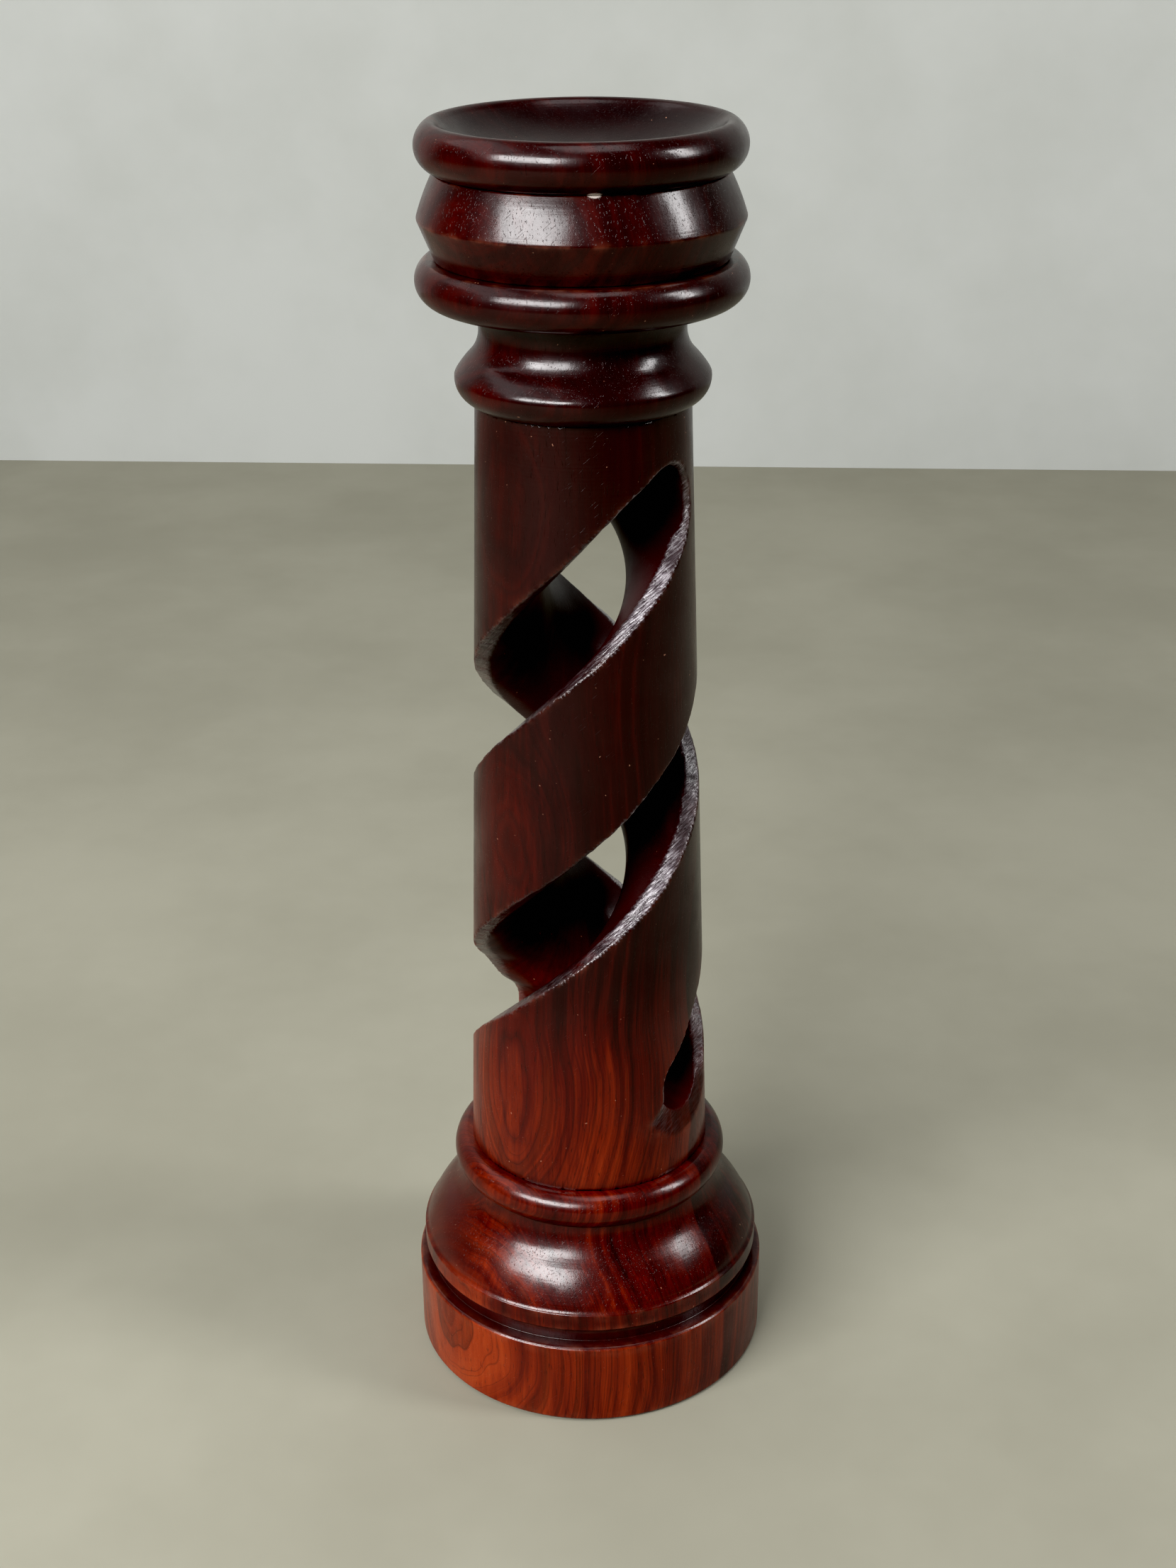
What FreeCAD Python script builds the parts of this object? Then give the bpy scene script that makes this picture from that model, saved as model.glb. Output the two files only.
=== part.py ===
"""Turned wooden candlestick with an open double twist, as six glued pieces.

The axis is +Z and the foot rests on Z = 0.  Every turned piece is a revolved half profile whose
corners are pinned by a radius and a height from the Sizes sheet.  The column is the exception: its
two slots are one cutter swept up a right-hand helix, straight through the column.
"""
import FreeCAD, Part
import math
import os
import Sketcher
from FreeCAD import Placement, Rotation, Vector

SIZES = {
    # foot: plain disc with a recessed neck above it
    "foot_radius": 43.4,
    "foot_top": 21.8,
    "foot_edge": 0.6,
    "foot_neck_radius": 40.2,
    "foot_neck_top": 25.6,
    # base moulding: lip, dome, cove and bead
    "lip_radius": 41.9,
    "lip_top": 30.9,
    "lip_edge": 0.6,
    "dome_top_radius": 34.9,
    "dome_top": 40.6,
    "dome_round": 30.0,
    "base_cove_radius": 31.0,
    "base_cove_top": 48.4,
    "base_cove_round": 14.0,
    "base_bead_round": 4.75,
    "base_bead_top_radius": 30.2,
    # column: a slow taper between the two shoulders
    "column_bottom": 57.1,
    "column_bottom_radius": 29.0,
    "column_top": 242.4,
    "column_top_radius": 23.3,
    # open twist: a round cutter that climbs one turn per pitch
    "twist_pitch": 140.7,
    "slot_front_height": 202.1,
    "slot_low_centre": 81.5,
    "slot_high_centre": 222.5,
    "slot_half_width": 9.1,
    "slot_end_drill_radius": 9.5,
    "bevel_depth": 3.3,
    "bevel_width": 1.9,
    "end_bevel_depth": 4.2,
    "end_bevel_width": 3.2,
    # neck collar: bead, cove and the wide lower bead
    "neck_bottom_radius": 23.9,
    "neck_lip_radius": 27.4,
    "neck_lip_top": 248.0,
    "neck_under_round": 5.2,
    "neck_lip_edge_radius": 27.1,
    "neck_lip_edge_top": 248.6,
    "neck_flare_radius": 24.5,
    "neck_flare_top": 251.9,
    "neck_flare_round": 20.0,
    "neck_cove_top_radius": 23.5,
    "neck_cove_top": 262.1,
    "neck_cove_round": 7.9,
    "ring_bead_bottom_radius": 30.3,
    "ring_bead_bottom": 263.1,
    "ring_bead_top_radius": 32.8,
    "ring_bead_round": 5.0,
    "collar_top": 272.3,
    # capital ring: a sharp double cone
    "capital_bottom_radius": 30.8,
    "capital_edge_radius": 34.3,
    "capital_edge_height": 280.7,
    "capital_top_radius": 30.5,
    "capital_top": 290.0,
    "capital_face_round": 50.0,
    # drip dish: round rim, hollow dish and the candle socket
    "rim_bottom_radius": 30.4,
    "rim_round": 5.42,
    "rim_shoulder_radius": 31.9,
    "rim_shoulder": 299.7,
    "rim_crest_round": 1.78,
    "dish_edge_radius": 30.15,
    "dish_edge": 299.83,
    "dish_floor": 291.6,
    "dish_round": 34.0,
    "socket_radius": 11.25,
    "socket_depth": 20.0,
    # round tenons and the glue gap around them
    "glue_gap": 0.1,
    "foot_tenon_radius": 15.0,
    "foot_tenon_bottom": 9.0,
    "neck_tenon_radius": 11.0,
    "neck_tenon_top": 259.0,
    "spigot_radius": 16.0,
    "spigot_bottom": 265.6,
}
SWEEP_SECTIONS = 31
WALL_POINTS = 9
REACH = 12.0  # how far the cutters run out past the column's surface
RUN_ON = 9.0  # how far the sweep runs on past the cutter's end positions before it is trimmed

doc = FreeCAD.newDocument("candlestick")
sheet = doc.addObject("Spreadsheet::Sheet", "Sizes")
for row, (alias, millimetres) in enumerate(SIZES.items(), start=1):
    sheet.set(f"A{row}", alias.replace("_", " "))
    sheet.set(f"B{row}", str(millimetres))
    sheet.setAlias(f"B{row}", alias)
doc.recompute()


def size(expression):
    """Value in mm of a sum of sheet cells, such as "foot_top - foot_edge"."""
    total = 0.0
    sign = 1.0
    for word in expression.split():
        if word in ("+", "-"):
            sign = 1.0 if word == "+" else -1.0
        else:
            total += sign * sheet.get(word)
    return total


def bound(expression):
    """The same sum as a FreeCAD expression that refers to the sheet."""
    words = expression.split()
    return " ".join(word if word in ("+", "-") else f"Sizes.{word}" for word in words)


def origin_plane(body, role):
    for plane in body.Origin.OriginFeatures:
        if plane.Role == role:
            return plane
    raise LookupError(role)


def arc_between(start, end, radius, bulges_right):
    """Circle arc from start to end; seen along the way it bulges to the right or to the left."""
    chord = end - start
    middle = (start + end) * 0.5
    side = Vector(-chord.y, chord.x, 0).normalize()
    offset = math.sqrt(radius * radius - chord.Length * chord.Length / 4)
    centre = middle + side * (offset if bulges_right else -offset)
    first, last = (start, end) if bulges_right else (end, start)
    angles = [math.atan2(point.y - centre.y, point.x - centre.x) for point in (first, last)]
    return Part.ArcOfCircle(Part.Circle(centre, Vector(0, 0, 1), radius), *angles)


def pin(sketch, geometry, vertex, across, up):
    """Hold one corner at its radius and height; "axis" is the axis itself, "floor" is Z = 0."""
    for kind, expression, zero, line in (
        ("DistanceX", across, "axis", -2),
        ("DistanceY", up, "floor", -1),
    ):
        if expression == zero:
            sketch.addConstraint(Sketcher.Constraint("PointOnObject", geometry, vertex, line))
            continue
        constraint = Sketcher.Constraint(kind, -1, 1, geometry, vertex, size(expression))
        index = sketch.addConstraint(constraint)
        sketch.setExpression(f"Constraints[{index}]", bound(expression))


def turned_piece(name, outline):
    """Body revolved about Z.  outline lists corners (radius, height) running up the outside and
    back down the middle; a corner may add the radius and side of the arc that leads to it."""
    body = doc.addObject("PartDesign::Body", name)
    body.Label = name
    sketch = body.newObject("Sketcher::SketchObject", f"{name}_profile")
    sketch.AttachmentSupport = [(origin_plane(body, "XZ_Plane"), "")]
    sketch.MapMode = "FlatFace"

    def place(corner):
        across = 0.0 if corner[0] == "axis" else size(corner[0])
        up = 0.0 if corner[1] == "floor" else size(corner[1])
        return Vector(across, up, 0)

    ends = []
    for here, corner in zip(outline, outline[1:] + outline[:1]):
        start, end = place(here), place(corner)
        if len(corner) == 2:
            geometry = sketch.addGeometry(Part.LineSegment(start, end))
            ends.append((geometry, 1, 2))
            continue
        radius, side = corner[2:]
        right = side == "outward"
        geometry = sketch.addGeometry(arc_between(start, end, size(radius), right))
        index = sketch.addConstraint(Sketcher.Constraint("Radius", geometry, size(radius)))
        sketch.setExpression(f"Constraints[{index}]", bound(radius))
        ends.append((geometry, 1, 2) if right else (geometry, 2, 1))
    for (before, _, last), (after, first, _) in zip(ends, ends[1:] + ends[:1]):
        sketch.addConstraint(Sketcher.Constraint("Coincident", before, last, after, first))
    for (geometry, first, _), corner in zip(ends, outline):
        pin(sketch, geometry, first, corner[0], corner[1])

    revolution = body.newObject("PartDesign::Revolution", f"{name}_revolution")
    revolution.Profile = sketch
    revolution.ReferenceAxis = (sketch, ["V_Axis"])
    revolution.Angle = 360
    return body


def foot_plinth():
    return turned_piece("foot_plinth", [
        ("foot_radius - foot_edge", "floor"),
        ("foot_radius", "foot_edge"),
        ("foot_radius", "foot_top - foot_edge"),
        ("foot_radius - foot_edge", "foot_top"),
        ("foot_neck_radius", "foot_top"),
        ("foot_neck_radius", "foot_neck_top"),
        ("foot_tenon_radius + glue_gap", "foot_neck_top"),
        ("foot_tenon_radius + glue_gap", "foot_tenon_bottom - glue_gap"),
        ("axis", "foot_tenon_bottom - glue_gap"),
        ("axis", "floor"),
    ])


def base_moulding():
    return turned_piece("base_moulding", [
        ("lip_radius - lip_edge", "foot_neck_top"),
        ("lip_radius", "foot_neck_top + lip_edge"),
        ("lip_radius", "lip_top - lip_edge"),
        ("lip_radius - lip_edge", "lip_top"),
        ("dome_top_radius", "dome_top", "dome_round", "outward"),
        ("base_cove_radius", "base_cove_top", "base_cove_round", "inward"),
        ("base_bead_top_radius", "column_bottom", "base_bead_round", "outward"),
        ("foot_tenon_radius + glue_gap", "column_bottom"),
        ("foot_tenon_radius + glue_gap", "foot_neck_top"),
    ])


def neck_collar():
    return turned_piece("neck_collar", [
        ("neck_bottom_radius", "column_top"),
        ("neck_lip_radius", "neck_lip_top", "neck_under_round", "outward"),
        ("neck_lip_edge_radius", "neck_lip_edge_top"),
        ("neck_flare_radius", "neck_flare_top", "neck_flare_round", "outward"),
        ("neck_cove_top_radius", "neck_cove_top", "neck_cove_round", "inward"),
        ("ring_bead_bottom_radius", "ring_bead_bottom"),
        ("ring_bead_top_radius", "collar_top", "ring_bead_round", "outward"),
        ("spigot_radius + glue_gap", "collar_top"),
        ("spigot_radius + glue_gap", "spigot_bottom - glue_gap"),
        ("axis", "spigot_bottom - glue_gap"),
        ("axis", "neck_tenon_top + glue_gap"),
        ("neck_tenon_radius + glue_gap", "neck_tenon_top + glue_gap"),
        ("neck_tenon_radius + glue_gap", "column_top"),
    ])


def capital_ring():
    return turned_piece("capital_ring", [
        ("capital_bottom_radius", "collar_top"),
        ("capital_edge_radius", "capital_edge_height"),
        ("capital_top_radius", "capital_top", "capital_face_round", "outward"),
        ("spigot_radius + glue_gap", "capital_top"),
        ("spigot_radius + glue_gap", "collar_top"),
    ])


def drip_dish():
    return turned_piece("drip_dish", [
        ("axis", "spigot_bottom"),
        ("spigot_radius", "spigot_bottom"),
        ("spigot_radius", "capital_top"),
        ("rim_bottom_radius", "capital_top"),
        ("rim_shoulder_radius", "rim_shoulder", "rim_round", "outward"),
        ("dish_edge_radius", "dish_edge", "rim_crest_round", "outward"),
        ("socket_radius", "dish_floor", "dish_round", "inward"),
        ("socket_radius", "dish_floor - socket_depth"),
        ("axis", "dish_floor - socket_depth"),
    ])


def column_blank():
    return turned_piece("column_blank", [
        ("axis", "foot_tenon_bottom"),
        ("foot_tenon_radius", "foot_tenon_bottom"),
        ("foot_tenon_radius", "column_bottom"),
        ("column_bottom_radius", "column_bottom"),
        ("column_top_radius", "column_top"),
        ("neck_tenon_radius", "column_top"),
        ("neck_tenon_radius", "neck_tenon_top"),
        ("axis", "neck_tenon_top"),
    ])


def column_radius(height):
    taper = size("column_top_radius - column_bottom_radius") / size("column_top - column_bottom")
    return size("column_bottom_radius") + taper * (height - size("column_bottom"))


def slot_angle(height):
    """Direction of the cutter at a height, in degrees from +X; at slot_front_height it is -Y."""
    return 360 * (height - size("slot_front_height")) / size("twist_pitch") - 90


def sine_of_climb(radius):
    """Sine of the helix angle at a radius: how steeply the cutter's path climbs there."""
    circumference = 2 * math.pi * radius
    return size("twist_pitch") / math.hypot(size("twist_pitch"), circumference)


def slot_section(height):
    """Level section through both slots: walls that flare from the axis, then bevelled mouths."""
    surface = column_radius(height)
    inner = surface - size("bevel_depth")
    outer = surface + REACH
    wall_points = []
    for step in range(WALL_POINTS):
        along = inner * (2 * step / (WALL_POINTS - 1) - 1)
        wall_points.append(Vector(along, size("slot_half_width") / sine_of_climb(along), 0))
    wall = Part.BSplineCurve()
    wall.interpolate(wall_points)
    slope = size("bevel_width") / sine_of_climb(surface) / size("bevel_depth")
    corner = wall_points[-1]
    mouth = Vector(outer, corner.y + slope * (outer - inner), 0)
    opposite = Vector(mouth.x, -mouth.y, 0)
    half = [
        wall.toShape(),
        Part.LineSegment(corner, mouth).toShape(),
        Part.LineSegment(mouth, opposite).toShape(),
        Part.LineSegment(opposite, Vector(corner.x, -corner.y, 0)).toShape(),
    ]
    turned = [edge.rotated(Vector(), Vector(0, 0, 1), 180) for edge in half]
    wire = Part.Wire(half + turned)
    wire.Placement = Placement(Vector(0, 0, height), Rotation(Vector(0, 0, 1), slot_angle(height)))
    return wire


def end_block(height, angle, upward):
    """Block that trims one slot square to the cutter's path, beyond the cutter's last position."""
    radial = Vector(math.cos(math.radians(angle)), math.sin(math.radians(angle)), 0)
    tangent = Vector(-radial.y, radial.x, 0)
    climb = math.asin(sine_of_climb(column_radius(height)))
    path = tangent * math.cos(climb) + Vector(0, 0, math.sin(climb))
    along = path if upward else path * -1
    across = radial.cross(along)
    length = size("column_bottom_radius") + REACH
    width = 2 * size("slot_half_width")
    block = Part.makeBox(length, 3 * RUN_ON, 2 * width, Vector(0, 0, -width))
    block.Placement = Placement(Vector(0, 0, height), Rotation(radial, along, across, "XYZ"))
    return block


def slot_sweep():
    """Both slots between the cutter's first and last positions."""
    low = size("slot_low_centre") - RUN_ON
    high = size("slot_high_centre") + RUN_ON
    step = (high - low) / (SWEEP_SECTIONS - 1)
    sections = [slot_section(low + step * index) for index in range(SWEEP_SECTIONS)]
    sweep = Part.makeLoft(sections, True, False)
    blocks = []
    for height, upward in ((size("slot_low_centre"), False), (size("slot_high_centre"), True)):
        for turn in (0, 180):
            blocks.append(end_block(height, slot_angle(height) + turn, upward))
    for block in blocks:
        sweep = sweep.cut(block)
    feature = doc.addObject("Part::Feature", "slot_sweep")
    feature.Shape = sweep
    return feature


def end_drills():
    """Round hole through the column at each end of the slots, countersunk on both sides."""
    drills = []
    for name, centre in (("low", "slot_low_centre"), ("high", "slot_high_centre")):
        height = size(centre)
        surface = column_radius(height)
        for turn in (0, 180):
            lie = Rotation(Vector(0, 0, 1), slot_angle(height) + turn) * Rotation(Vector(0, 1, 0), 90)
            drill = doc.addObject("Part::Cylinder", f"{name}_drill_{turn}")
            drill.setExpression("Radius", "Sizes.slot_end_drill_radius")
            drill.Height = surface + REACH
            drill.Placement = Placement(Vector(0, 0, height), lie)
            sink = doc.addObject("Part::Cone", f"{name}_countersink_{turn}")
            growth = size("end_bevel_width") / size("end_bevel_depth")
            depth = size("end_bevel_depth") + REACH
            sink.setExpression("Radius1", "Sizes.slot_end_drill_radius")
            sink.Radius2 = size("slot_end_drill_radius") + growth * depth
            sink.Height = depth
            base = lie.multVec(Vector(0, 0, surface - size("end_bevel_depth")))
            sink.Placement = Placement(Vector(0, 0, height) + base, lie)
            drills += [drill, sink]
    return drills


def twist_column():
    cutter = doc.addObject("Part::MultiFuse", "slot_cutter")
    cutter.Shapes = [slot_sweep()] + end_drills()
    column = doc.addObject("Part::Cut", "twist_column")
    column.Label = "twist_column"
    column.Base = column_blank()
    column.Tool = cutter
    return column


nodes = [
    foot_plinth(),
    base_moulding(),
    twist_column(),
    neck_collar(),
    capital_ring(),
    drip_dish(),
]
doc.recompute()

for item in doc.Objects:
    if "Invalid" in item.State or "Error" in item.State:
        raise RuntimeError(f"{item.Label} did not compute: {item.State}")
for node in nodes:
    if node.Shape.isNull() or not node.Shape.isValid() or len(node.Shape.Solids) != 1:
        raise RuntimeError(f"{node.Label} is not one valid solid")

os.makedirs("parts", exist_ok=True)
for node in nodes:
    node.Shape.exportStep(f"parts/{node.Label}.step")
    print(node.Label, round(node.Shape.Volume), "mm3", node.Shape.BoundBox)
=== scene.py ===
"""Looks for the turned candlestick: turned pieces, open twist column, rosewood, light, camera."""
import math

import bpy
import numpy as np
import openvdb
from mathutils import Matrix, Vector


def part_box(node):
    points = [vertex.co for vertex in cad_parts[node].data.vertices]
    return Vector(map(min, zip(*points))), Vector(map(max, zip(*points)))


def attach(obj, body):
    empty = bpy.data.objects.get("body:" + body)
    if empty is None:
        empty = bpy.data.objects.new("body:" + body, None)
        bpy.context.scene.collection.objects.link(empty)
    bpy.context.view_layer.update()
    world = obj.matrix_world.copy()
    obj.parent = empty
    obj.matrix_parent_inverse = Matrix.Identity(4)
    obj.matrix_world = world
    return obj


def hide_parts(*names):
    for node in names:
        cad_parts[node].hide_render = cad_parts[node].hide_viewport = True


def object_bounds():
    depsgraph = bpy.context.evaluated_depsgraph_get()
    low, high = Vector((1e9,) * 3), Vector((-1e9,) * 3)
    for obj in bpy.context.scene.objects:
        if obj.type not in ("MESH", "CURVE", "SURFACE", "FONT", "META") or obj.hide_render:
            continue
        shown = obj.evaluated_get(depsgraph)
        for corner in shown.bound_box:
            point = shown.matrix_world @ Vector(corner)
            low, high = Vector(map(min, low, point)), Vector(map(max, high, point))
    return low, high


MM = 0.001  # metres in a millimetre; lengths are in mm unless a comment says metres
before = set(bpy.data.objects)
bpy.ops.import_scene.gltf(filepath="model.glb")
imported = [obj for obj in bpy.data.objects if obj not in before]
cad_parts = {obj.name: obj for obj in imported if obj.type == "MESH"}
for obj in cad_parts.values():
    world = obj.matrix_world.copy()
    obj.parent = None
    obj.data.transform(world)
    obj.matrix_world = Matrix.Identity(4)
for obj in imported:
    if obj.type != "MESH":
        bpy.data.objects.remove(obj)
cad_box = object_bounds()


# ---------------------------------------------------------------- outlines of the turned pieces

CORNER = math.radians(24)  # a sharper turn than this is an edge, a gentler one belongs to a curve
STRAIGHT = 4.0  # mm: a longer stretch between two points of the outline is a straight one
CURVE_STEP = 0.7  # mm between samples on a curve
LINE_STEP = 2.5  # mm between samples on a straight
EDGE_POINTS = 5  # samples on a softened edge
EDGE_SHARE = 0.3  # the most of a run that a softened edge may take
ON_PLANE = 1e-7  # metres: closer to the cutting plane than this is on it
SEGMENTS = 224  # steps round a turned piece
WEAR_REACH = 0.5  # mm over which worn edges fade
SHADE_REACH = 0.9  # mm over which the painted shade in the inner corners fades


def half_plane_links(node):
    """Edges of the CAD piece in the half plane y = 0, x >= 0, as (radius, height) in mm."""
    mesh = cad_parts[node].data
    links = {}
    spots = {}
    for vertex in mesh.vertices:
        if abs(vertex.co.y) < ON_PLANE and vertex.co.x > -ON_PLANE:
            spots[vertex.index] = (round(vertex.co.x / MM, 3) + 0.0, round(vertex.co.z / MM, 3))
    for edge in mesh.edges:
        first, second = (spots.get(index) for index in edge.vertices)
        if first is not None and second is not None and first != second:
            links.setdefault(first, set()).add(second)
            links.setdefault(second, set()).add(first)
    return links


def close_flat_faces(links):
    """Level faces have no edge in the half plane: join their two rims, or one rim to the axis."""
    levels = {}
    for spot, others in links.items():
        if len(others) == 1 and spot[0] > 0:
            levels.setdefault(spot[1], []).append(spot)
    for height, rims in levels.items():
        rims.sort()
        pairs = zip(rims[0::2], rims[1::2])
        if len(rims) % 2:
            pairs = [((0.0, height), rims[0])] + list(zip(rims[1::2], rims[2::2]))
        for first, second in pairs:
            links.setdefault(first, set()).add(second)
            links.setdefault(second, set()).add(first)
    return links


def half_profile(node):
    """Ordered outline of a turned CAD piece, and whether it is a ring or closes on the axis."""
    links = close_flat_faces(half_plane_links(node))
    on_axis = sorted((spot for spot in links if spot[0] == 0.0), key=lambda spot: spot[1])
    is_ring = not on_axis
    start = max(links) if is_ring else on_axis[0]
    outline = [start]
    previous = None
    here = start
    while True:
        onward = [spot for spot in links[here] if spot != previous]
        if previous is None:
            onward.sort(key=lambda spot: spot[1] if is_ring else -spot[0], reverse=is_ring)
        if not onward or onward[0] == start:
            break
        previous, here = here, onward[0]
        outline.append(here)
    return np.array(outline), is_ring


def unit(vectors):
    return vectors / np.maximum(np.linalg.norm(vectors, axis=-1, keepdims=True), 1e-12)


def sample_run(run):
    """Points and directions along a run between two edges: a smooth curve through its points."""
    steps = np.linalg.norm(np.diff(run, axis=0), axis=1)
    slopes = unit(np.diff(run, axis=0))
    if len(run) == 2:
        count = max(2, math.ceil(steps[0] / LINE_STEP) + 1)
        share = np.linspace(0, 1, count)[:, None]
        return run[0] + share * (run[1] - run[0]), np.repeat(slopes, count, axis=0)
    before, after = steps[:-1, None], steps[1:, None]
    inner = unit(slopes[:-1] * after + slopes[1:] * before)
    first = 2 * (slopes[0] @ inner[0]) * slopes[0] - inner[0]
    last = 2 * (slopes[-1] @ inner[-1]) * slopes[-1] - inner[-1]
    tangents = np.vstack([first, inner, last])
    for index in np.flatnonzero(steps > STRAIGHT):
        tangents[index] = tangents[index + 1] = slopes[index]
    points, directions = [run[:1]], [tangents[:1]]
    for index, length in enumerate(steps):  # a cubic Hermite curve from each point to the next
        count = max(1, math.ceil(length / CURVE_STEP))
        s = (np.arange(1, count + 1) / count)[:, None]
        p0, p1 = run[index], run[index + 1]
        m0, m1 = tangents[index] * length, tangents[index + 1] * length
        points.append(
            (2 * s**3 - 3 * s**2 + 1) * p0 + (s**3 - 2 * s**2 + s) * m0
            + (3 * s**2 - 2 * s**3) * p1 + (s**3 - s**2) * m1
        )
        directions.append(unit(
            (6 * s**2 - 6 * s) * (p0 - p1) + (3 * s**2 - 4 * s + 1) * m0 + (3 * s**2 - 2 * s) * m1
        ))
    return np.vstack(points), np.vstack(directions)


def soft_outline(node, softness):
    """Outline samples, their directions, and the places of its outer edges and inner corners.

    Every edge gives way to a small curve that starts softness mm before it.
    """
    outline, is_ring = half_profile(node)
    x, y = outline[:, 0], outline[:, 1]
    area = np.sum(x * np.roll(y, -1) - np.roll(x, -1) * y)
    if area < 0:
        outline = outline[::-1]
    slopes = unit(np.diff(np.vstack([outline, outline[:1]]) if is_ring else outline, axis=0))
    entering = np.roll(slopes, 1, axis=0) if is_ring else slopes[:-1]
    leaving = slopes if is_ring else slopes[1:]
    cross = entering[:, 0] * leaving[:, 1] - entering[:, 1] * leaving[:, 0]
    turn = np.arctan2(cross, np.sum(entering * leaving, axis=1))
    first_turn = 0 if is_ring else 1
    corners = [index + first_turn for index in np.flatnonzero(abs(turn) > CORNER)]
    turns = {index: turn[index - first_turn] for index in corners}
    if is_ring:
        outline = np.vstack([np.roll(outline, -corners[0], axis=0), outline[corners[0]]])
        cuts = [index - corners[0] for index in corners] + [len(outline) - 1]
        turns = {index - corners[0]: value for index, value in turns.items()}
        turns[len(outline) - 1] = turns[0]
    else:
        cuts = [0] + corners + [len(outline) - 1]
    runs = [sample_run(outline[low:high + 1]) for low, high in zip(cuts, cuts[1:])]
    lengths = [np.sum(np.linalg.norm(np.diff(points, axis=0), axis=1)) for points, _ in runs]

    points, directions = [], []
    outer, inner = [], []
    for number, (run_points, run_directions) in enumerate(runs):
        following = (number + 1) % len(runs) if is_ring else number + 1
        begins = is_ring or number > 0
        ends = is_ring or following < len(runs)
        most = EDGE_SHARE * lengths[number]
        start_cut = min(softness, most, EDGE_SHARE * lengths[number - 1]) if begins else 0
        end_cut = min(softness, most, EDGE_SHARE * lengths[following % len(runs)]) if ends else 0
        keep = np.ones(len(run_points), bool)
        if begins:
            keep &= np.linalg.norm(run_points - run_points[0], axis=1) > start_cut * 1.05
        if ends:
            keep &= np.linalg.norm(run_points - run_points[-1], axis=1) > end_cut * 1.05
        points.append(run_points[keep])
        directions.append(run_directions[keep])
        if not ends:
            continue
        corner = run_points[-1]
        incoming, outgoing = run_directions[-1], runs[following][1][0]
        p0, p2 = corner - incoming * end_cut, corner + outgoing * end_cut
        s = np.linspace(0, 1, EDGE_POINTS)[:, None]
        points.append((1 - s) ** 2 * p0 + 2 * s * (1 - s) * corner + s**2 * p2)
        directions.append(unit((1 - s) * (corner - p0) + s * (p2 - corner)))
        (outer if turns[cuts[number + 1]] > 0 else inner).append(corner)
    return np.vstack(points), np.vstack(directions), is_ring, np.array(outer), np.array(inner)


def nearness(points, places, reach):
    """1 at the given places, falling off with distance over reach mm."""
    if not len(places):
        return np.zeros(len(points))
    distance = np.linalg.norm(points[:, None, :] - places[None, :, :], axis=2).min(axis=1)
    return np.exp(-distance / reach)


def new_piece(name, vertices, faces, normals, layers):
    """Mesh object in the row frame from mm data, with its normals and its float layers."""
    mesh = bpy.data.meshes.new(name)
    mesh.from_pydata((np.asarray(vertices) * MM).tolist(), [], faces)
    mesh.validate()
    for layer, values in layers.items():
        data = mesh.attributes.new(layer, "FLOAT", "POINT").data
        data.foreach_set("value", values.astype(np.float32))
    mesh.polygons.foreach_set("use_smooth", np.ones(len(mesh.polygons), bool))
    mesh.normals_split_custom_set_from_vertices(normals.tolist())
    mesh.update()
    piece = bpy.data.objects.new(name, mesh)
    bpy.context.scene.collection.objects.link(piece)
    return piece


def lathe(name, node, softness):
    """Revolves the CAD piece's own outline with softened edges."""
    points, directions, is_ring, outer, inner = soft_outline(node, softness)
    wear = nearness(points, outer, WEAR_REACH)
    # Painted shade: darker near the inner corners of the outline.
    corner_shade = nearness(points, inner, SHADE_REACH)
    angles = np.arange(SEGMENTS) * 2 * math.pi / SEGMENTS
    spin = np.stack([np.cos(angles), np.sin(angles)], axis=1)
    vertices, normals, worn, corner_shades, rows = [], [], [], [], []
    for point, direction, wear_here, shade_here in zip(points, directions, wear, corner_shade):
        at_axis = point[0] < 1e-6
        turns = spin[:1] * 0 if at_axis else spin
        row = np.arange(len(turns)) + len(worn)
        rows.append(np.repeat(row, SEGMENTS) if at_axis else row)
        upward = math.copysign(1, -direction[0]) if at_axis else -direction[0]
        vertices += [(point[0] * c, point[0] * s, point[1]) for c, s in turns]
        normals += [(direction[1] * c, direction[1] * s, upward) for c, s in turns]
        worn += [wear_here] * len(turns)
        corner_shades += [shade_here] * len(turns)
    faces = []
    pairs = list(zip(rows, rows[1:])) + ([(rows[-1], rows[0])] if is_ring else [])
    for low, high in pairs:
        for corners in zip(low, np.roll(low, -1), np.roll(high, -1), high):
            faces.append([int(corner) for corner in dict.fromkeys(corners)])
    layers = {"wear": np.array(worn), "corner_shade": np.array(corner_shades)}
    piece = new_piece(name, vertices, faces, unit(np.array(normals)), layers)
    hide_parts(node)
    return piece


# ---------------------------------------------------------------- the open twist column

PITCH = 140.7  # mm of height for one full turn of the slot
SLOT_FRONT = 202.1  # mm: the height at which the slot faces straight forward
SLOT_HALF = 9.1  # mm, half the slot's width across
LOW_CENTRE = 82.6  # mm, centre of the slot's round lower end
LOW_END_RADIUS = 8.7  # mm, half the slot's width at its lower end
LOW_END_SHIFT = 2.5  # mm by which the lower end sits off the slot's middle, towards its lower edge
NARROWING_RISE = 11.0  # mm over which the slot opens from its lower end to its full width
HIGH_CENTRE = 220.6  # mm, centre of its upper end
END_SKEW = 2.0  # mm by which the upper end runs further along its upper edge
SKEW_RISE = 12.0  # mm from the axis over which that skew comes in
BEVEL_WIDTH = 1.9  # mm of the skin that the bevel takes beside the slot
BEVEL_DEPTH = 3.3  # mm that it goes down into the slot
SCOOP_WIDTH = 3.6  # mm added to the bevel's width below the slot's lower end
SCOOP_DEPTH = 2.0  # mm taken off its depth there, so that it is a shallow scoop
EDGE_ROUND = 0.42  # mm over which two faces melt into each other
STEP = 0.68  # mm between samples of the column
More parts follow.
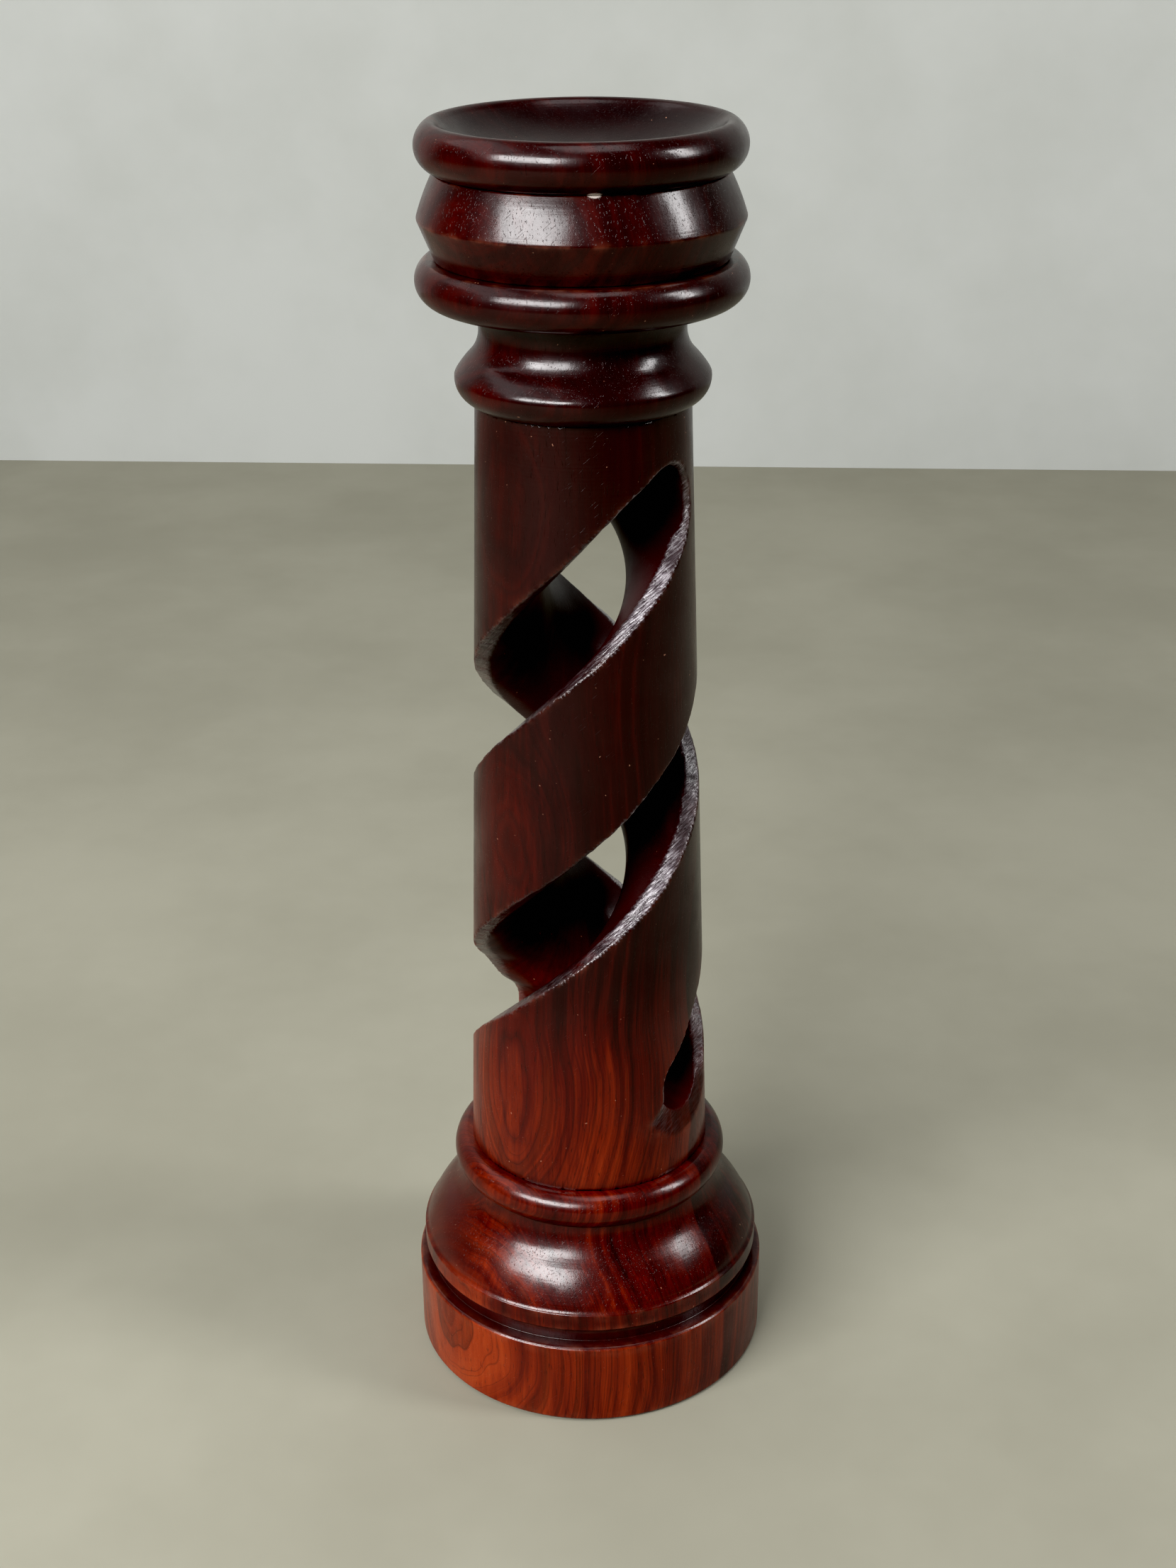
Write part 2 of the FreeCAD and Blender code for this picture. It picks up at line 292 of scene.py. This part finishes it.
SETTLING_ROUNDS = 4  # Newton steps that bring a vertex onto the surface
SETTLING_REACH = 0.05  # mm each way for the field's gradient while settling
NORMAL_REACH = 0.12  # mm each way for the final normals

column_low, column_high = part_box("twist_column")
SHOULDER_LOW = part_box("base_moulding")[1][2] / MM
SHOULDER_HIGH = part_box("neck_collar")[0][2] / MM
TENON_LOW, TENON_HIGH = column_low[2] / MM, column_high[2] / MM
RADIUS_LOW = column_high[0] / MM
RADIUS_HIGH = 23.3  # mm, the tapered column's radius at its upper shoulder
LOW_TENON_RADIUS = 15.0
HIGH_TENON_RADIUS = 11.0
TENON_OVERLAP = 1.0  # mm that a tenon reaches into the column's body
FACE_BLEND = 0.15  # mm on each side of an edge over which one face's finish becomes the other's
EDGE_WEAR = 0.4  # mm
SHOULDER_SHADE = 1.2  # mm over which the painted shade at the shoulders fades


def smooth_step(low, high, value):
    """0 at low and 1 at high, with a soft start and end."""
    share = np.clip((value - low) / (high - low), 0, 1)
    return share * share * (3 - 2 * share)


def soft_max(a, b):
    """The larger of two distances, rounded where they meet."""
    overlap = np.maximum(EDGE_ROUND - np.abs(a - b), 0)
    return np.maximum(a, b) + overlap**2 / (4 * EDGE_ROUND)


def slot_place(x, y, z):
    """Where a point is about the slot, in mm.

    above: how far above the slot's middle surface; foot: the height on that surface it is nearest
    to; past_low and past_high: how far past the two ends; last, how far from the axis along it.
    """
    turn = 2 * math.pi * (z - SLOT_FRONT) / PITCH - math.pi / 2
    along = x * np.cos(turn) + y * np.sin(turn)
    across = (y * np.cos(turn) - x * np.sin(turn)) * np.sign(along)
    slant = np.sqrt(PITCH**2 + (2 * math.pi * along) ** 2)
    climb = PITCH / slant
    lean = 2 * math.pi * np.abs(along) / slant
    above = -across * climb
    foot = z - above * lean
    above = above + LOW_END_SHIFT * (1 - smooth_step(LOW_CENTRE, LOW_CENTRE + NARROWING_RISE, foot))
    past_low = (LOW_CENTRE - z) / climb - across * lean
    past_high = (z - HIGH_CENTRE) / climb + across * lean
    return above, foot, past_low, past_high, np.abs(along)


def slot_distance(place):
    """Distance from the slot's middle surface, reckoned so that the wall is always at SLOT_HALF."""
    above, foot, past_low, past_high, along = place
    skew = END_SKEW * smooth_step(-SLOT_HALF, SLOT_HALF, above) * smooth_step(0, SKEW_RISE, along)
    past = np.maximum(np.maximum(past_low, past_high - skew), 0)
    opened = smooth_step(LOW_CENTRE, LOW_CENTRE + NARROWING_RISE, foot)
    return np.hypot(above, past) + (SLOT_HALF - LOW_END_RADIUS) * (1 - opened)


def scoop_share(above, past_low):
    """1 straight below the slot's lower end, falling to 0 beside it."""
    under = 0.62 * past_low - 0.78 * above  # straight down, seen along and across the slot
    return smooth_step(0, LOW_END_RADIUS, under) * smooth_step(-8, -1, past_low)


def column_faces(x, y, z):
    """Signed distances, positive outside the wood, to the skin, the slot's walls and the bevel."""
    radius = np.hypot(x, y)
    taper = (RADIUS_LOW - RADIUS_HIGH) / (SHOULDER_HIGH - SHOULDER_LOW)
    skin = radius - RADIUS_LOW + taper * (z - SHOULDER_LOW)
    place = slot_place(x, y, z)
    distance = slot_distance(place)
    walls = SLOT_HALF - distance
    above, foot, past_low, past_high = place[:4]
    near_end = scoop_share(above, past_low)
    # The bevel gets smaller towards both ends of the slot, and nearly vanishes along the upper
    # edge of the slot's lowest part.
    fading = 1 - 0.45 * smooth_step(-10, -2, past_low) * (1 - near_end)
    fading = fading * (1 - 0.55 * smooth_step(-3, 3, past_high))
    crisp = smooth_step(-1, 4, above) * (1 - smooth_step(LOW_CENTRE + 8, LOW_CENTRE + 34, foot))
    # Cut by hand: its width wanders, and the rasp leaves shallow waves.
    wander = 0.07 * np.sin(0.43 * z + 1.7) + 0.04 * np.sin(1.31 * z + 0.4 * x + 0.6)
    wander = wander + 0.06 * np.sin(0.21 * z - 0.9)
    width = (BEVEL_WIDTH + SCOOP_WIDTH * near_end) * (1 + wander)
    width = width * (1 - 0.8 * crisp * (1 - near_end)) * fading
    depth = (BEVEL_DEPTH - SCOOP_DEPTH * near_end) * fading
    slope = width / depth
    bevel = (SLOT_HALF + width + skin * slope - distance) / np.sqrt(1 + slope**2)
    waves = 0.02 * np.sin(3.1 * z + 1.3 * x + 0.8 * np.sin(0.7 * z))
    waves = waves + 0.015 * np.sin(4.9 * z - 1.1 * y)
    return skin, walls, bevel + waves


def column_field(x, y, z):
    """Signed distance of the whole column with its two tenons."""
    skin, walls, bevel = column_faces(x, y, z)
    open_part = soft_max(soft_max(skin, walls), bevel)
    open_part = np.maximum(open_part, np.maximum(SHOULDER_LOW - z, z - SHOULDER_HIGH))
    radius = np.hypot(x, y)
    low_ends = np.maximum(TENON_LOW - z, z - SHOULDER_LOW - TENON_OVERLAP)
    high_ends = np.maximum(SHOULDER_HIGH - TENON_OVERLAP - z, z - TENON_HIGH)
    low_tenon = np.maximum(radius - LOW_TENON_RADIUS, low_ends)
    high_tenon = np.maximum(radius - HIGH_TENON_RADIUS, high_ends)
    return np.minimum(open_part, np.minimum(low_tenon, high_tenon))


def slope_of(points, reach):
    """Gradient of the column's field at the points."""
    slope = np.empty_like(points)
    for axis in range(3):
        offset = np.zeros(3)
        offset[axis] = reach
        rise = column_field(*(points + offset).T) - column_field(*(points - offset).T)
        slope[:, axis] = rise / (2 * reach)
    return slope


def twist_column():
    """Samples the field on a grid, takes its surface and settles every vertex onto it."""
    side = RADIUS_LOW + 2 * STEP
    low = np.array([-side, -side, TENON_LOW - 2.5 * STEP])
    high = np.array([side, side, TENON_HIGH + 2.5 * STEP])
    axes = [
        start + STEP * np.arange(math.ceil((end - start) / STEP) + 1)
        for start, end in zip(low, high)
    ]
    x, y, z = np.meshgrid(*axes, indexing="ij", sparse=True)
    field = column_field(x + 0 * z, y + 0 * z, z + 0 * x).astype(np.float32)
    grid = openvdb.FloatGrid(float(field.max()))
    grid.copyFromArray(field)
    points, quads = grid.convertToQuads(0.0)
    points = np.asarray(points, float) * STEP + low
    for _ in range(SETTLING_ROUNDS):
        slope = slope_of(points, SETTLING_REACH)
        size = np.maximum(np.sum(slope**2, axis=1, keepdims=True), 0.25)
        move = column_field(*points.T)[:, None] * slope / size
        points -= np.clip(move, -0.5 * STEP, 0.5 * STEP)
    points[:, 2] = np.clip(points[:, 2], TENON_LOW, TENON_HIGH)
    normals = unit(slope_of(points, NORMAL_REACH))
    quads = np.asarray(quads, int)
    first, second, third = (points[quads[:, index]] for index in (0, 1, 2))
    outward = np.sum(np.cross(second - first, third - first) * normals[quads[:, 0]])
    if outward < 0:
        quads = quads[:, ::-1]
    skin, walls, bevel = column_faces(*points.T)
    above, _, past_low = slot_place(*points.T)[:3]
    scoop = scoop_share(above, past_low)
    on_bevel = smooth_step(-FACE_BLEND, FACE_BLEND, bevel - np.maximum(skin, walls))
    to_shoulder = np.minimum(points[:, 2] - SHOULDER_LOW, SHOULDER_HIGH - points[:, 2]).clip(0)
    layers = {
        "rasped": on_bevel * (1 - 0.9 * scoop),
        "wall": smooth_step(-FACE_BLEND, FACE_BLEND, walls - np.maximum(skin, bevel)),
        "scoop": on_bevel * scoop,
        "wear": np.exp(-(np.abs(skin) + np.abs(bevel)) / EDGE_WEAR),
        "corner_shade": np.exp(-to_shoulder / SHOULDER_SHADE),
    # Painted shade near the shoulders, where the column meets the moulding and the collar.
    }
    piece = new_piece("open_twist_column", points, quads.tolist(), normals, layers)
    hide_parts("twist_column")
    return piece


# ---------------------------------------------------------------- rosewood


def paint(red, green, blue):
    """A colour given as 0 to 255 on a screen, for a shader."""
    shares = [value / 255 for value in (red, green, blue)]
    return [s / 12.92 if s < 0.04045 else ((s + 0.055) / 1.055) ** 2.4 for s in shares] + [1.0]


class Shader:
    """Short hand for a node material: each call adds a node and gives back its output.

    place is the object's own coordinates in metres; mm, x, y and height are in mm.
    """

    def __init__(self, name):
        self.material = bpy.data.materials.new(name)
        self.material.use_nodes = True
        self.tree = self.material.node_tree
        self.tree.nodes.clear()
        self.place = self.add("ShaderNodeTexCoord", output=3)
        self.mm = self.stretch(self.place, (1 / MM, 1 / MM, 1 / MM))
        split = self.tree.nodes.new("ShaderNodeSeparateXYZ")
        self.tree.links.new(self.mm, split.inputs[0])
        self.x, self.y, self.height = split.outputs

    def add(self, kind, inputs=None, output=0, **settings):
        node = self.tree.nodes.new(kind)
        for key, value in settings.items():
            setattr(node, key, value)
        for key, value in (inputs or {}).items():
            if isinstance(value, bpy.types.NodeSocket):
                self.tree.links.new(value, node.inputs[key])
            else:
                node.inputs[key].default_value = value
        return node.outputs[output] if node.outputs else None

    def math(self, operation, first, second=0.0, clamp=False):
        inputs = {0: first, 1: second}
        return self.add("ShaderNodeMath", inputs, operation=operation, use_clamp=clamp)

    def times(self, first, second):
        return self.math("MULTIPLY", first, second)

    def vector(self, operation, first, second=(0.0, 0.0, 0.0), output=0):
        inputs = {0: first, 1: second}
        return self.add("ShaderNodeVectorMath", inputs, output, operation=operation)

    def span(self, value, low, high, start=0.0, end=1.0):
        """value from low..high to start..end, smoothly and never outside."""
        inputs = {"Value": value, "From Min": low, "From Max": high, "To Min": start, "To Max": end}
        return self.add("ShaderNodeMapRange", inputs, interpolation_type="SMOOTHSTEP")

    def within(self, value, begin, full, still_full, finish, most=1.0):
        """0 outside begin..finish and most inside full..still_full."""
        return self.times(
            self.span(value, begin, full), self.span(value, finish, still_full, 0.0, most)
        )

    def mix(self, share, first, second):
        inputs = {"Fac": share, "Color1": first, "Color2": second}
        return self.add("ShaderNodeMixRGB", inputs)

    def stretch(self, vector, scale):
        return self.vector("MULTIPLY", vector, scale)

    def noise(self, vector, scale=1.0, detail=3.0, roughness=0.5):
        inputs = {"Vector": vector, "Scale": scale, "Detail": detail, "Roughness": roughness}
        return self.add("ShaderNodeTexNoise", inputs)

    def wobble(self, frequency, detail, reach):
        """A level vector noise centred on zero, for bending the grain by up to half of reach."""
        inputs = {"Vector": self.stretch(self.mm, frequency), "Scale": 1.0, "Detail": detail}
        noise = self.add("ShaderNodeTexNoise", inputs, output=1)
        centred = self.vector("SUBTRACT", noise, (0.5, 0.5, 0.5))
        return self.stretch(centred, (reach, reach, 0.0))

    def layer(self, name):
        """A float layer of the mesh; a mesh without it gives 0."""
        return self.add("ShaderNodeAttribute", output=2, attribute_name=name)

    def ramp(self, value, stops):
        """A colour ramp through (place, colour) stops."""
        node = self.tree.nodes.new("ShaderNodeValToRGB")
        bands = node.color_ramp.elements
        bands[0].position, bands[0].color = stops[0]
        bands[1].position, bands[1].color = stops[-1]
        for place, colour in stops[1:-1]:
            bands.new(place).color = colour
        self.tree.links.new(value, node.inputs[0])
        return node.outputs[0]

    def finish(self, inputs):
        shader = self.add("ShaderNodeBsdfPrincipled", inputs)
        self.add("ShaderNodeOutputMaterial", {"Surface": shader})
        return self.material


# Ranges of height are in mm: where a change begins, is full, is still full and ends.
NECK_BAND = (21.2, 21.7, 25.8, 26.6)  # the dark band round the top of the plinth
DOME = (26.0, 28.0, 46.0, 52.0)
DULL_PATCH = (27.0, 34.0, 52.0, 70.0)  # on the left of the moulding
LOW_COLUMN = (55.0, 60.0, 84.0, 118.0)
PLINTH_FACE = (26.0, 20.0)  # from none to full, as are all pairs
SLOT_END_PAINTED_LIGHT = (92.0, 80.0)
DISH_SHADE_HEIGHT = (290.4, 291.2)
DISH_SHADE_RADIUS = (31.0, 27.0)
SHEEN_FROM_LEFT = (-1.0, 11.0)  # the painted sheen on the bevels begins here, across the stick
SHEEN_TO_RIGHT = (16.0, 23.0)  # and less of it from here on
WAX_DROP = (1.25, -30.6, 290.2)  # in the groove under the rim, with x at half scale

GRAIN_DIRECTION = (-0.70, -0.71, 0.08)  # the growth rings face front left
SWIRL_HEIGHT = 78.0  # mm, where the rings close into an oval on the column
SWIRL_SPACING = 70.0  # mm between one oval and the next
SWIRL_SWELL = 1.8  # mm by which the rings bulge there
TONES = [
    (0.00, paint(12, 1, 2)),
    (0.22, paint(36, 4, 5)),
    (0.42, paint(72, 13, 8)),
    (0.60, paint(108, 33, 11)),
    (0.80, paint(134, 50, 18)),
    (1.00, paint(150, 66, 28)),
]
# Painted sheen: grey tones, lighter than the wood, that stand in for light reflected by the rasped
# bevels.
RASP_MARK_SHEEN_TONES = [
    (0.36, paint(34, 20, 26)),
    (0.50, paint(92, 82, 88)),
    (0.64, paint(176, 170, 175)),
]


def wood_figure(s, dark_bands):
    """The wood from rings, fibres, veins and pores, with some painted light and shade from side to
    side: its colour, fibres and pores.
    """
    sway = s.wobble((0.016, 0.016, 0.011), 1.5, 13.0)
    ripple = s.wobble((0.09, 0.09, 0.03), 2.0, 2.4)
    bent = s.vector("ADD", s.vector("ADD", s.mm, sway), ripple)
    ring = s.vector("DOT_PRODUCT", bent, GRAIN_DIRECTION, output=1)
    from_swirl = s.math("SUBTRACT", s.height, SWIRL_HEIGHT)
    swell = s.math("COSINE", s.times(from_swirl, 2 * math.pi / SWIRL_SPACING))
    ring = s.math("ADD", ring, s.times(swell, SWIRL_SWELL))

    def rings(per_mm, detail):
        inputs = {"W": s.times(ring, per_mm), "Scale": 1.0, "Detail": detail}
        return s.add("ShaderNodeTexNoise", inputs, noise_dimensions="1D")

    # The wood is darker towards the top. It is lighter on the front left and darker on the right,
    # partly its own tone and partly painted light and shade from the lamp on the front left.
    tone = s.span(s.height, 150.0, 40.0, 0.20, 0.39)
    tone_and_light_to_left = s.math("DIVIDE", s.math("SUBTRACT", s.times(s.y, -0.35), s.x), 40.0)
    tone = s.math("ADD", tone, s.times(tone_and_light_to_left, s.span(s.height, 200.0, 30.0, 0.06, 0.18)))
    tone = s.math("ADD", tone, s.span(s.height, *PLINTH_FACE, 0.0, 0.14))
    tone = s.math("ADD", tone, s.within(s.height, *LOW_COLUMN, 0.14))
    tone = s.math("SUBTRACT", tone, s.within(s.height, *DOME, 0.06))

    fibre = s.noise(s.stretch(bent, (1.1, 1.1, 0.035)), 1.0, 5.0, 0.66)
    figure = [
        (rings(0.17, 1.0), 0.42),  # broad bands
        (rings(0.62, 2.5), 0.30),
        (rings(2.3, 2.0), 0.14),  # single growth rings
        (fibre, 0.30),
        (s.noise(s.stretch(bent, (0.33, 0.33, 0.012)), 1.0, 3.0, 0.6), 0.34),  # long streaks
        (s.noise(s.stretch(s.mm, (0.028, 0.028, 0.012)), 1.0, 2.0, 0.5), 0.45),  # wide patches
    ]
    contrast = s.span(s.height, 230.0, 60.0, 0.45, 1.0)
    for noise, amount in figure:
        part = s.times(s.math("SUBTRACT", noise, 0.5), amount)
        tone = s.math("ADD", tone, s.times(part, contrast))
    colour = s.ramp(s.math("ADD", tone, 0.0, clamp=True), TONES)

    line = s.math("ABSOLUTE", s.math("SUBTRACT", rings(0.85, 1.0), 0.5))
    line = s.times(s.span(line, 0.035, 0.0), s.span(s.height, 150.0, 90.0, 0.12, 0.38))
    colour = s.mix(line, colour, paint(40, 8, 8))
    vein = s.times(s.span(rings(0.36, 3.0), 0.40, 0.31), s.span(fibre, 0.35, 0.6, 0.4, 1.0))
    colour = s.mix(s.times(vein, dark_bands), colour, paint(26, 4, 6))
    pore = s.span(s.noise(s.stretch(bent, (3.6, 3.6, 0.3)), 1.0, 2.0, 0.5), 0.63, 0.72)
    colour = s.mix(s.times(pore, 0.55), colour, paint(16, 3, 4))
    return colour, fibre, pore


def stains_wear_and_painted_shade(s, colour):
    """Darker places, the slot's walls with painted light near the slot's lower end, painted shade
    in the corners and in the dish, worn edges and small flecks.
    """
    dull = s.times(s.span(s.x, -24.0, -34.0), s.within(s.height, *DULL_PATCH))
    colour = s.mix(s.times(dull, 0.8), colour, paint(66, 26, 22))
    colour = s.mix(s.times(s.within(s.height, *NECK_BAND), 0.85), colour, paint(46, 16, 20))

    # Painted shade: the hollow of the dish is darkened.
    radius = s.vector("LENGTH", s.stretch(s.mm, (1.0, 1.0, 0.0)), output=1)
    dish = s.times(s.span(radius, *DISH_SHADE_RADIUS), s.span(s.height, *DISH_SHADE_HEIGHT))
    colour = s.mix(s.times(dish, 0.75), colour, paint(18, 4, 6))

    wall = s.layer("wall")
    colour = s.mix(s.times(wall, 0.5), colour, paint(58, 20, 22))
    # Painted light: low in the slot, near its lower end, the walls are tinted a lit red.
    colour = s.mix(s.times(wall, s.span(s.height, *SLOT_END_PAINTED_LIGHT)), colour, paint(66, 12, 10))
    # Painted shade in the inner corners and at the column's shoulders, broken up by noise.
    corner_shade = s.times(s.layer("corner_shade"), s.span(s.noise(s.mm, 0.5, 3.0), 0.3, 0.6, 0.35, 0.75))
    colour = s.mix(corner_shade, colour, paint(34, 20, 18))
    wear = s.times(s.layer("wear"), s.span(s.noise(s.mm, 0.22, 4.0, 0.6), 0.42, 0.66))
    colour = s.mix(s.times(wear, 0.22), colour, paint(150, 92, 70))
    fleck = s.span(s.noise(s.mm, 0.85, 2.0, 0.6), 0.745, 0.79)
    colour = s.mix(s.times(fleck, 0.5), colour, paint(186, 140, 116))

    to_drop = s.vector("DISTANCE", s.stretch(s.mm, (0.5, 1.0, 1.0)), WAX_DROP, output=1)
    return s.mix(s.span(to_drop, 0.9, 0.6), colour, paint(200, 190, 184)), wall


def rosewood(name, dark_bands):
    """Varnished rosewood cut from one block: the figure runs on from piece to piece."""
    s = Shader(name)
    colour, fibre, pore = wood_figure(s, dark_bands)
    colour, wall = stains_wear_and_painted_shade(s, colour)

    # The bevels are bare wood with rasp marks and a silvery painted reflection of the light where
    # they face front right; the scoop under the slot is smooth and dark.
    scoop = s.layer("scoop")
    colour = s.mix(s.times(scoop, 0.7), colour, paint(44, 26, 24))
    rasped = s.layer("rasped")
    turned = {"Vector": s.mm, "Axis": (0.3, 1.0, 0.0), "Angle": 0.75}
    slanted = s.add("ShaderNodeVectorRotate", turned, rotation_type="AXIS_ANGLE")
    marks = s.noise(s.stretch(slanted, (0.35, 0.5, 3.2)), 1.0, 3.0, 0.6)
    painted_sheen_share = s.times(rasped, s.span(s.noise(s.mm, 0.14, 2.0), 0.3, 0.6, 0.5, 1.0))
    painted_sheen_share = s.times(painted_sheen_share, s.span(s.x, *SHEEN_FROM_LEFT, 0.12, 0.9))
    painted_sheen_share = s.times(painted_sheen_share, s.span(s.x, *SHEEN_TO_RIGHT, 1.0, 0.4))
    colour = s.mix(painted_sheen_share, colour, s.ramp(marks, RASP_MARK_SHEEN_TONES))

    smear = s.noise(s.stretch(s.mm, (0.05, 0.05, 0.05)), 1.0, 4.0, 0.6)
    scratch = s.span(s.noise(s.stretch(slanted, (0.25, 2.4, 6.0)), 1.0, 1.0), 0.70, 0.76)
    roughness = s.span(smear, 0.3, 0.7, 0.34, 0.48)
    roughness = s.math("SUBTRACT", roughness, s.times(rasped, 0.06))
    coat = s.span(smear, 0.25, 0.7, 0.70, 0.50)
    coat = s.math("SUBTRACT", coat, s.times(wall, 0.48), clamp=True)
    coat = s.math("SUBTRACT", coat, s.times(scoop, 0.6), clamp=True)
    haze = s.noise(s.stretch(s.mm, (0.2, 0.2, 0.12)), 1.0, 4.0, 0.65)
    coat_roughness = s.math("ADD", s.span(haze, 0.3, 0.7, 0.13, 0.24), s.times(scratch, 0.1))

    turning = s.noise(s.stretch(s.mm, (0.01, 0.01, 2.2)), 1.0, 2.0)
    relief = s.math("ADD", s.times(turning, 0.02), s.times(fibre, 0.035))
    relief = s.math("SUBTRACT", relief, s.times(pore, 0.05))
    relief = s.math("SUBTRACT", relief, s.times(scratch, 0.02))
    relief = s.math("ADD", relief, s.times(s.times(marks, rasped), 0.6))
    bump = s.add("ShaderNodeBump", {"Strength": 0.55, "Distance": MM, "Height": relief})

    return s.finish({
        "Base Color": colour,
        "Roughness": roughness,
        "Specular IOR Level": s.span(rasped, 0.0, 1.0, 0.12, 0.7),
        "Coat Weight": coat,
        "Coat Roughness": coat_roughness,
        "Coat IOR": 1.5,
        "Normal": bump,
        "Coat Normal": bump,
    })


# ---------------------------------------------------------------- the six pieces

woods = {
    "foot_wood": rosewood("foot_rosewood", 0.5),
    "column_wood": rosewood("column_rosewood", 0.45),
    "capital_wood": rosewood("capital_rosewood", 0.5),
}
pieces = [
    (lathe("turned_foot_plinth", "foot_plinth", 0.30), "foot_wood"),
    (lathe("turned_base_moulding", "base_moulding", 0.35), "foot_wood"),
    (twist_column(), "column_wood"),
    (lathe("turned_neck_collar", "neck_collar", 0.35), "capital_wood"),
    (lathe("turned_capital_ring", "capital_ring", 0.45), "capital_wood"),
    (lathe("turned_drip_dish", "drip_dish", 0.35), "capital_wood"),
]
for piece, wood in pieces:
    piece.data.materials.append(woods[wood])
    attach(piece, "root")


# ---------------------------------------------------------------- floor, wall, light and camera

# Lengths from here on are in metres.
FLOOR_REACH = 6.0
FLOOR_DROP = 0.0002  # below the foot, so that the two faces don't coincide
WALL_HEIGHT = 3.0
WALL_DISTANCE = 0.75
WALL_LEAN = 0.058  # the wall is a little nearer on the right
ROOM_COLOUR = (0.80, 0.80, 0.78, 1.0)
ROOM_STRENGTH = 0.03
CENTRE = Vector((0, 0, 0.5 * float(cad_box[0][2] + cad_box[1][2])))
CAMERA_PLACE = (0.00035, -0.45606, 0.3654)
CAMERA_LENS = 49.91  # mm on a 36 mm sensor
LOOKING_DOWN = 25.2  # degrees
ROLL = -0.45  # degrees


def plain_surface(name, colour, other):
    """A matt paint that drifts between two near colours."""
    s = Shader(name)
    cloud = s.noise(s.place, 6.0, 5.0, 0.6)
    return s.finish({
        "Base Color": s.mix(s.span(cloud, 0.3, 0.7), colour, other),
        "Roughness": 0.8,
        "Specular IOR Level": 0.2,
    })


def flat_sheet(name, corners, material):
    mesh = bpy.data.meshes.new(name)
    mesh.from_pydata(corners, [], [tuple(range(len(corners)))])
    mesh.materials.append(material)
    sheet = bpy.data.objects.new(name, mesh)
    bpy.context.scene.collection.objects.link(sheet)


floor_paint = plain_surface("pale_floor", paint(148, 146, 133), paint(138, 136, 123))
wall_paint = plain_surface("pale_wall", paint(184, 186, 183), paint(176, 178, 174))
ground = float(cad_box[0][2]) - FLOOR_DROP
wall_left = (-FLOOR_REACH, WALL_DISTANCE + WALL_LEAN * FLOOR_REACH)
wall_right = (FLOOR_REACH, WALL_DISTANCE - WALL_LEAN * FLOOR_REACH)
flat_sheet("floor", [
    (-FLOOR_REACH, -FLOOR_REACH, ground), (FLOOR_REACH, -FLOOR_REACH, ground),
    (*wall_right, ground), (*wall_left, ground),
], floor_paint)
flat_sheet("wall", [
    (*wall_left, ground), (*wall_right, ground),
    (*wall_right, WALL_HEIGHT), (*wall_left, WALL_HEIGHT),
], wall_paint)

world = bpy.data.worlds.new("soft_room")
world.use_nodes = True
bpy.context.scene.world = world
background = world.node_tree.nodes["Background"]
background.inputs["Color"].default_value = ROOM_COLOUR
background.inputs["Strength"].default_value = ROOM_STRENGTH


def soft_lamp(name, azimuth, elevation, distance, size, power):
    """Area lamp round the object, in degrees: azimuth from straight in front, to the right."""
    lamp = bpy.data.lights.new(name, "AREA")
    lamp.shape = "RECTANGLE"
    lamp.size, lamp.size_y = size
    lamp.energy = power
    holder = bpy.data.objects.new(name, lamp)
    a, e = math.radians(azimuth), math.radians(elevation)
    outward = Vector((math.cos(e) * math.sin(a), -math.cos(e) * math.cos(a), math.sin(e)))
    holder.location = CENTRE + distance * outward
    holder.rotation_euler = (CENTRE - holder.location).to_track_quat("-Z", "Y").to_euler()
    bpy.context.scene.collection.objects.link(holder)


soft_lamp("key", -38, 33, 1.3, (1.0, 0.40), 27)
soft_lamp("side", 78, 33, 1.3, (0.26, 0.55), 8)
soft_lamp("top", 20, 80, 1.4, (0.7, 0.7), 3.8)
soft_lamp("left_fill", -100, 50, 1.6, (1.2, 0.8), 4)

camera_data = bpy.data.cameras.new("photo_view")
camera_data.sensor_width = 36.0
camera_data.lens = CAMERA_LENS
camera = bpy.data.objects.new("photo_view", camera_data)
camera.matrix_world = (
    Matrix.Translation(CAMERA_PLACE)
    @ Matrix.Rotation(math.radians(90 - LOOKING_DOWN), 4, "X")
    @ Matrix.Rotation(math.radians(ROLL), 4, "Z")
)
bpy.context.scene.collection.objects.link(camera)
bpy.context.scene.camera = camera

view = bpy.context.scene.view_settings
view.view_transform = "Standard"
view.look = "Medium High Contrast"
view.use_curve_mapping = True
view.curve_mapping.black_level = (0.011, 0.011, 0.011)
